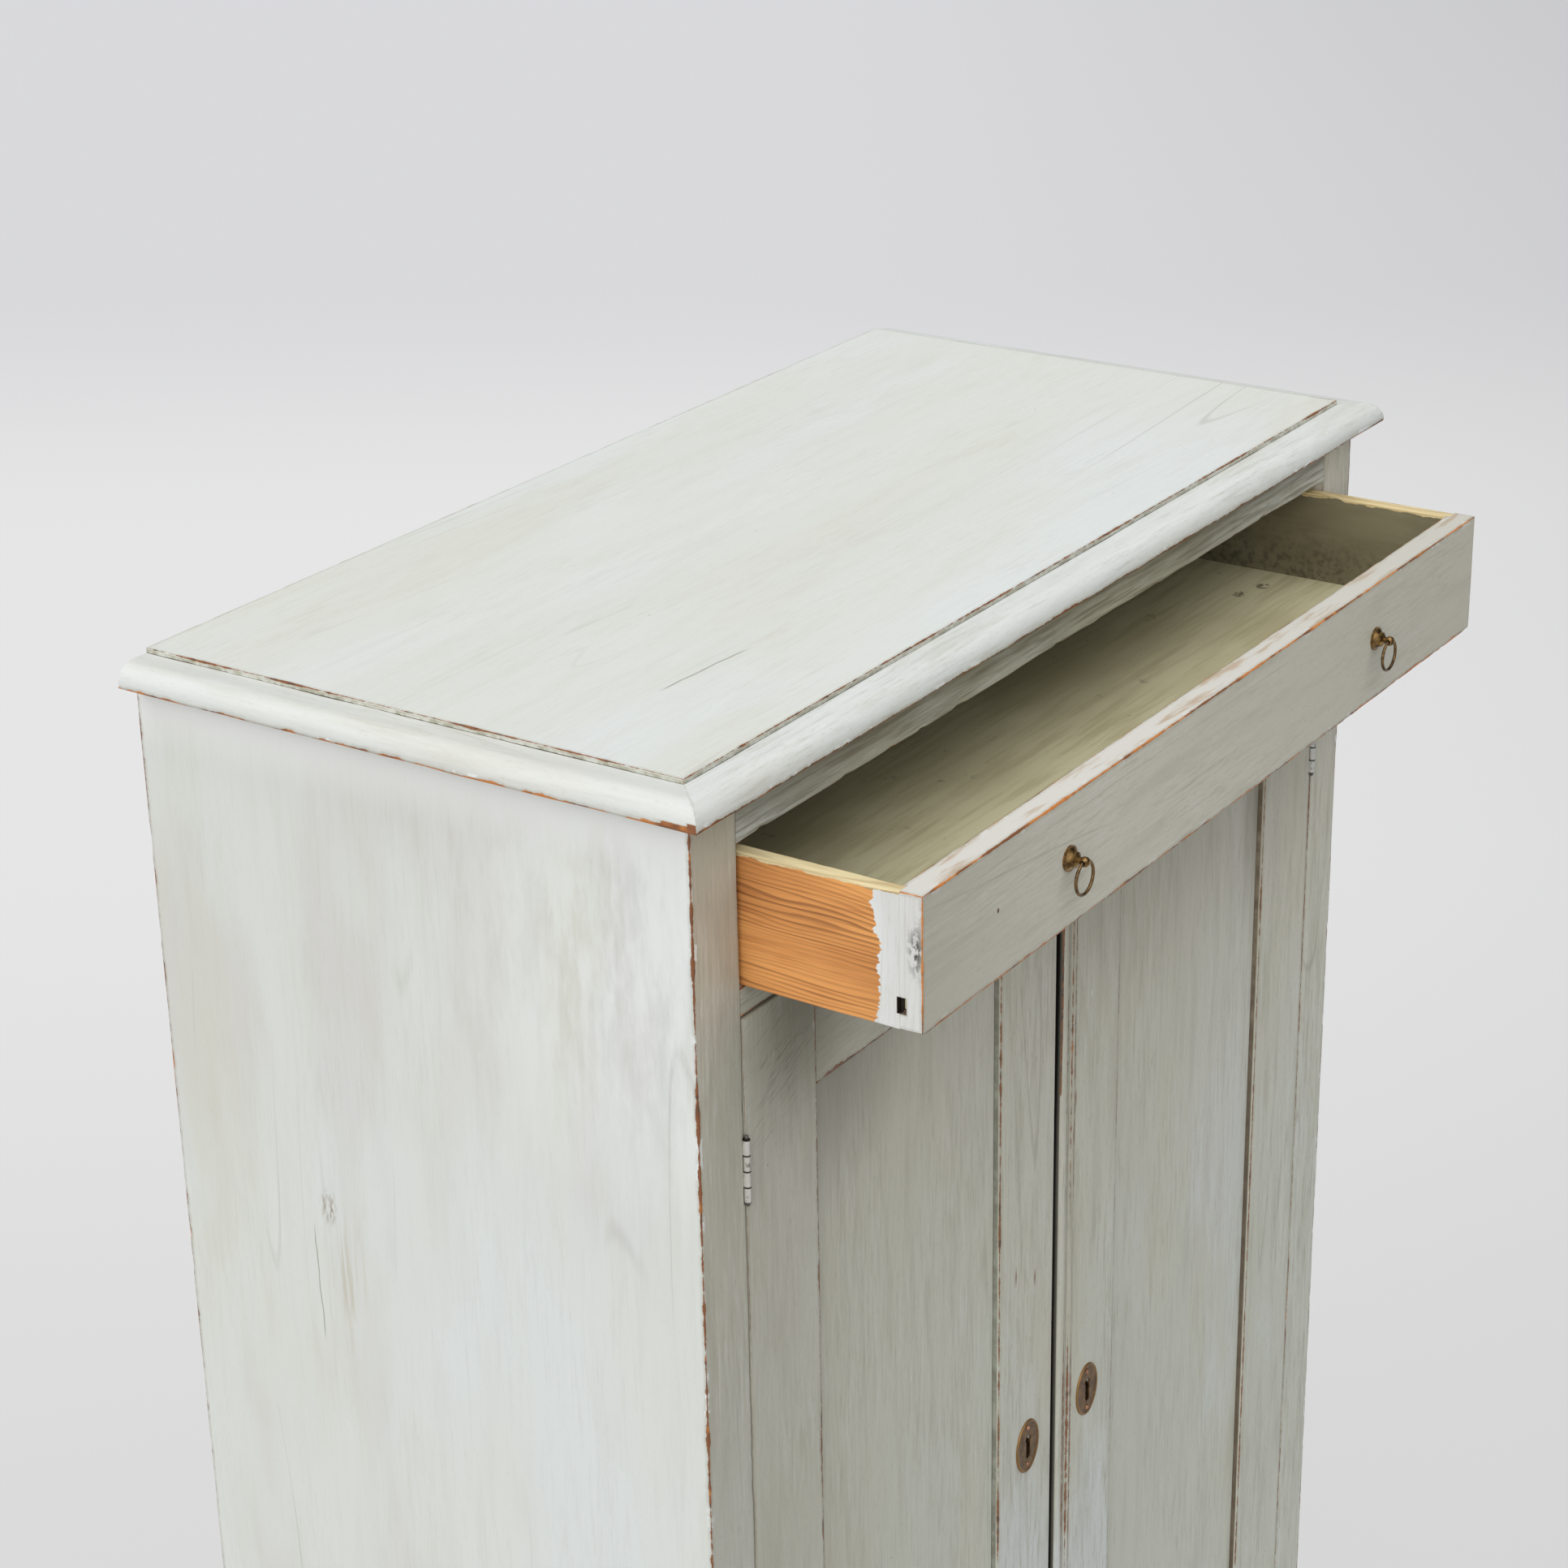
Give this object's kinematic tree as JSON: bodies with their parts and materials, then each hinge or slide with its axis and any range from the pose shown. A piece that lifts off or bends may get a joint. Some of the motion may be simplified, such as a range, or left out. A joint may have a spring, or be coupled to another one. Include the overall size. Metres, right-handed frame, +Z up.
{
  "type": "painted cupboard sideboard",
  "caption": "Old painted pine cupboard with a wide drawer above panelled doors, brass ring pulls, oval keyhole plates and a rounded top moulding.",
  "frame": {"origin": "on the floor, in the middle of the underside of the front plinth board", "axes": "+X to the right seen from the front, +Y from the front to the back, +Z up"},
  "size_m": [0.885, 0.5448, 1.2198],
  "materials": {
    "painted_wood": "pale grey-green matt paint, rubbed through to brown wood on the edges",
    "drawer_pine": "bare orange pine, aged",
    "drawer_inside": "olive-grey grimy bare wood",
    "inside_wood": "bare aged pine",
    "aged_brass": "dull brown patina with bright rubbed rims",
    "painted_iron": "iron painted over with the wood",
    "dark_iron": "dark aged iron"
  },
  "bodies": {
    "carcass": {"top_board": "painted_wood", "front_moulding": "painted_wood", "left_moulding": "painted_wood", "right_moulding": "painted_wood", "left_side": "painted_wood", "right_side": "painted_wood", "left_stile": "painted_wood", "right_stile": "painted_wood", "top_rail": "painted_wood", "drawer_rail": "painted_wood", "bottom_rail": "painted_wood", "front_plinth": "painted_wood", "left_plinth": "painted_wood", "right_plinth": "painted_wood", "back_boards": "inside_wood", "cupboard_floor": "inside_wood", "shelves": "inside_wood", "shelf_cleats": "inside_wood", "drawer_runners": "inside_wood", "drawer_guides": "inside_wood", "drawer_kickers": "inside_wood", "drawer_stops": "inside_wood", "hinge_frame_leaves": "painted_iron", "hinge_pins": "painted_iron", "hinge_frame_screws": "dark_iron"},
    "drawer": {"drawer_front": "painted_wood", "drawer_left_side": "drawer_pine", "drawer_right_side": "drawer_pine", "drawer_back": "drawer_inside", "drawer_bottom": "drawer_inside", "left_pull_rose": "aged_brass", "right_pull_rose": "aged_brass"},
    "left_ring": {"left_pull_ring": "aged_brass"},
    "right_ring": {"right_pull_ring": "aged_brass"},
    "left_door": {"left_door_hinge_stile": "painted_wood", "left_door_lock_stile": "painted_wood", "left_door_top_rail": "painted_wood", "left_door_bottom_rail": "painted_wood", "left_door_panel": "painted_wood", "left_door_pegs": "painted_wood", "left_door_hinge_leaves": "painted_iron", "left_door_hinge_screws": "dark_iron", "left_escutcheon": "aged_brass", "left_escutcheon_pins": "aged_brass", "lock_strike": "dark_iron", "door_bolt_plates": "dark_iron"},
    "right_door": {"right_door_hinge_stile": "painted_wood", "right_door_lock_stile": "painted_wood", "right_door_top_rail": "painted_wood", "right_door_bottom_rail": "painted_wood", "right_door_panel": "painted_wood", "right_door_pegs": "painted_wood", "right_door_hinge_leaves": "painted_iron", "right_door_hinge_screws": "dark_iron", "right_escutcheon": "aged_brass", "right_escutcheon_pins": "aged_brass", "lock_case": "dark_iron"},
    "lock_bolt": {"lock_bolt": "dark_iron"},
    "upper_door_bolt": {"upper_door_bolt": "dark_iron"},
    "lower_door_bolt": {"lower_door_bolt": "dark_iron"}
  },
  "joints": [
    {"name": "drawer_slide", "type": "slide", "parent": "carcass", "child": "drawer", "axis": [0, -1, 0], "range_m": [-0.12, 0.2]},
    {"name": "left_door_hinge", "type": "hinge", "parent": "carcass", "child": "left_door", "pos_m": [-0.37925, 0.0068, 0.5765], "axis": [0, 0, -1], "range_deg": [0, 165]},
    {"name": "right_door_hinge", "type": "hinge", "parent": "carcass", "child": "right_door", "pos_m": [0.37925, 0.0068, 0.5765], "axis": [0, 0, 1], "range_deg": [0, 165]},
    {"name": "left_ring_swing", "type": "hinge", "parent": "drawer", "child": "left_ring", "pos_m": [-0.2125, -0.1225, 1.12405], "axis": [-1, 0, 0], "range_deg": [-20, 110]},
    {"name": "right_ring_swing", "type": "hinge", "parent": "drawer", "child": "right_ring", "pos_m": [0.2125, -0.1225, 1.12405], "axis": [-1, 0, 0], "range_deg": [-20, 110]},
    {"name": "lock_bolt_slide", "type": "slide", "parent": "right_door", "child": "lock_bolt", "axis": [-1, 0, 0], "range_m": [0, 0.012]},
    {"name": "upper_bolt_slide", "type": "slide", "parent": "left_door", "child": "upper_door_bolt", "axis": [0, 0, 1], "range_m": [0, 0.012]},
    {"name": "lower_bolt_slide", "type": "slide", "parent": "left_door", "child": "lower_door_bolt", "axis": [0, 0, -1], "range_m": [0, 0.012]}
  ]
}
